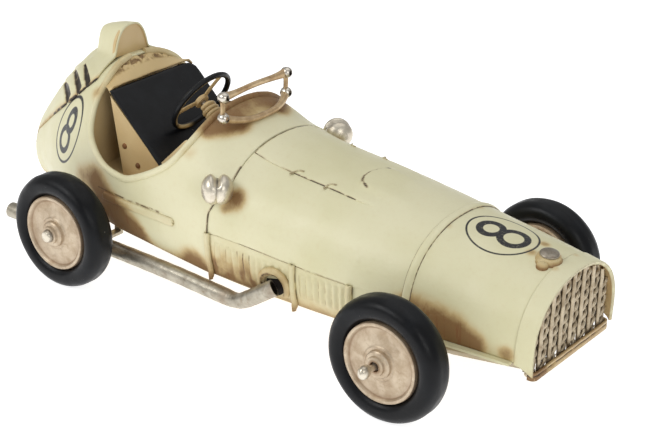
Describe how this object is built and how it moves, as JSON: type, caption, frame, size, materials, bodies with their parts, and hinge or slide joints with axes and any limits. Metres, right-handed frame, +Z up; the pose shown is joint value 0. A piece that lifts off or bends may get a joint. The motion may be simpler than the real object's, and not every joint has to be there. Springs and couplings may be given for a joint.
{
  "type": "tin toy racing car",
  "caption": "Vintage friction-drive tinplate racing car with open cockpit, riveted hatch, headrest tail, wire windscreen and side exhaust",
  "frame": {"origin": "Middle of the car's footprint, on the ground under the wheels", "axes": "+X towards the nose, +Y to the car's left, +Z up; the ground is the plane Z = 0"},
  "size_m": [0.31, 0.1568, 0.108],
  "materials": {
    "cream_paint": "aged enamel on tinplate, chipped and stained",
    "tan_undercoat": "thin brown undercoat on bare tin, worn",
    "black_paint": "aged satin enamel",
    "black_rubber": "satin, worn at the edges",
    "nickel_plate": "aged plating, dull",
    "bright_plate": "aged plating with fine marks",
    "bare_steel": "plain, lightly rusted",
    "grey_tinplate": "dull, lightly rusted"
  },
  "bodies": {
    "chassis": {"bonnet_hatch": "cream_paint", "bonnet_shell": "cream_paint", "bonnet_strap": "cream_paint", "cockpit_tub": "tan_undercoat", "dashboard": "tan_undercoat", "exhaust_collar": "cream_paint", "exhaust_hangers": "grey_tinplate", "exhaust_pipe": "grey_tinplate", "filler_cap": "bright_plate", "filler_collar": "cream_paint", "floor_pan": "tan_undercoat", "front_axle": "bare_steel", "front_axle_brackets": "bare_steel", "grille_bars": "bright_plate", "grille_mesh": "black_paint", "hatch_latches": "bright_plate", "headrest_face": "tan_undercoat", "louvre_panel_left": "cream_paint", "louvre_panel_right": "cream_paint", "mirror_left": "bright_plate", "mirror_right": "bright_plate", "motor_pillars": "bare_steel", "motor_plates": "bare_steel", "nose_cowl": "cream_paint", "nose_flanges": "cream_paint", "nose_lip": "cream_paint", "nose_pan": "cream_paint", "nose_ring": "cream_paint", "rear_body_shell": "cream_paint", "seat_deck": "tan_undercoat", "seat_gussets": "tan_undercoat", "seat_rivets": "bare_steel", "seat_slab": "black_paint", "side_rail": "tan_undercoat", "side_ribs": "cream_paint", "side_spears": "cream_paint", "steering_column": "black_paint", "tail_cover": "cream_paint", "windscreen_bolts": "bright_plate", "windscreen_frame": "bright_plate"},
    "front_left_wheel": {"front_left_tyre": "black_rubber", "front_left_wheel_discs": "nickel_plate", "front_left_hub": "nickel_plate"},
    "front_right_wheel": {"front_right_tyre": "black_rubber", "front_right_wheel_discs": "nickel_plate", "front_right_hub": "nickel_plate"},
    "rear_wheels": {"rear_left_tyre": "black_rubber", "rear_left_wheel_discs": "nickel_plate", "rear_left_hub": "nickel_plate", "rear_right_tyre": "black_rubber", "rear_right_wheel_discs": "nickel_plate", "rear_right_hub": "nickel_plate", "rear_axle": "bare_steel", "axle_gear": "bare_steel"},
    "idler": {"idler_cluster_gear": "bare_steel"},
    "flywheel_rotor": {"flywheel_shaft": "bare_steel", "flywheel": "bare_steel"},
    "steering_wheel": {"steering_rim": "black_paint", "steering_spokes": "tan_undercoat", "steering_spindle": "bare_steel"}
  },
  "joints": [
    {"name": "front_left_wheel_spin", "type": "hinge", "parent": "chassis", "child": "front_left_wheel", "pos_m": [0.1053, 0.05945, 0.027], "axis": [0, 1, 0], "continuous": true},
    {"name": "front_right_wheel_spin", "type": "hinge", "parent": "chassis", "child": "front_right_wheel", "pos_m": [0.1053, -0.05945, 0.027], "axis": [0, 1, 0], "continuous": true},
    {"name": "rear_axle_spin", "type": "hinge", "parent": "chassis", "child": "rear_wheels", "pos_m": [-0.0759, 0, 0.027], "axis": [0, 1, 0], "continuous": true},
    {"name": "idler_spin", "type": "hinge", "parent": "chassis", "child": "idler", "pos_m": [-0.06373, 0, 0.03026], "axis": [0, 1, 0], "continuous": true},
    {"name": "flywheel_spin", "type": "hinge", "parent": "chassis", "child": "flywheel_rotor", "pos_m": [-0.05132, 0, 0.03245], "axis": [0, 1, 0], "continuous": true},
    {"name": "steering_wheel_spin", "type": "hinge", "parent": "chassis", "child": "steering_wheel", "pos_m": [-0.045, 0, 0.08], "axis": [-0.866, 0, 0.5], "continuous": true}
  ],
  "couplings": [
    {"joint": "idler_spin", "follows": "rear_axle_spin", "ratio": -2.5},
    {"joint": "flywheel_spin", "follows": "rear_axle_spin", "ratio": 6.25}
  ]
}
